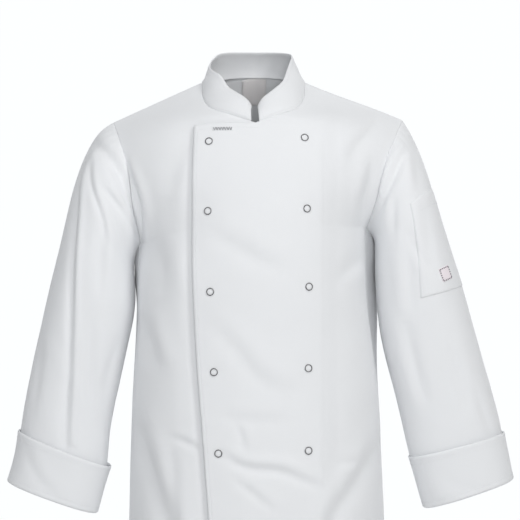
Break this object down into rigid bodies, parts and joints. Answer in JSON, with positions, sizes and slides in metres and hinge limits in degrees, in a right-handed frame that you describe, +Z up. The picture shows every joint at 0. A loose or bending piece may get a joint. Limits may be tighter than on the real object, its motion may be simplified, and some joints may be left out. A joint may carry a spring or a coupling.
{
  "type": "double-breasted chef jacket",
  "caption": "Long-sleeved double-breasted chef jacket with stand collar, turned-back cuffs, ring studs and a sleeve pocket, filled out as worn.",
  "frame": {"origin": "the shoulder seat: the middle of the jacket between the two shoulder seams where they reach the neck, where a wearer's shoulders carry it", "axes": "+X to the wearer's left, +Y to the wearer's back, +Z up"},
  "size_m": [0.8324, 0.3009, 0.8399],
  "materials": {
    "cloth": "matt white twill",
    "label": "woven off-white label",
    "tag": "woven tag with a dark border",
    "tab": "woven white strip with dark stitches",
    "stud": "dark nickel wire"
  },
  "bodies": {
    "root": {"front_left": "cloth", "front_right": "cloth", "back": "cloth", "sleeve_left": "cloth", "sleeve_left_lower": "cloth", "sleeve_right": "cloth", "sleeve_right_lower": "cloth", "cuff_left": "cloth", "cuff_right": "cloth", "collar": "cloth", "sleeve_pocket": "cloth", "pocket_tag": "tag", "neck_label": "label", "chest_tab": "tab", "stud_l1": "stud", "stud_l2": "stud", "stud_l3": "stud", "stud_l4": "stud", "stud_l5": "stud", "stud_r1": "stud", "stud_r2": "stud", "stud_r3": "stud", "stud_r4": "stud", "stud_r5": "stud"}
  },
  "joints": []
}
